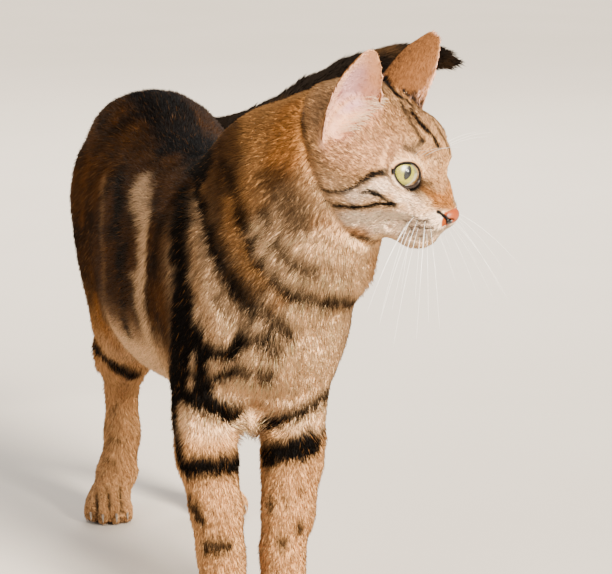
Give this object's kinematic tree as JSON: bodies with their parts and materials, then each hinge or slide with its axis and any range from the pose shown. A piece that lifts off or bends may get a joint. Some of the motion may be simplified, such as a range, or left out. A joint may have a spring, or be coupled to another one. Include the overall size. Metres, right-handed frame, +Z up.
{
  "type": "cat",
  "caption": "Standing short-haired domestic cat with a marbled tabby coat, head turned to its left, tail curving up behind, as a still life-size display model.",
  "frame": {"origin": "centre of the bounding box in X and Y, at the level the four feet stand on", "axes": "+Z up, -Y toward the chest and nose end, +X toward the cat's left side"},
  "size_m": [0.3032, 0.4772, 0.361],
  "materials": {
    "coat": "short dense fur, golden beige with brown-black marbled bands, paler on throat and inner legs",
    "eye": "wet gloss, yellow-green iris with an upright slit pupil",
    "nose_leather": "matt moist leather, brick pink with a dark rim"
  },
  "bodies": {
    "root": {"ear_left": "coat", "ear_right": "coat", "eye_left": "eye", "eye_right": "eye", "forefoot_left": "coat", "forefoot_right": "coat", "foreleg_left": "coat", "foreleg_right": "coat", "head": "coat", "hindfoot_left": "coat", "hindfoot_right": "coat", "hock_left": "coat", "hock_right": "coat", "neck": "coat", "nose": "nose_leather", "shank_left": "coat", "shank_right": "coat", "shoulder_left": "coat", "shoulder_right": "coat", "tail_middle": "coat", "tail_root": "coat", "tail_tip": "coat", "thigh_left": "coat", "thigh_right": "coat", "trunk": "coat"}
  },
  "joints": []
}
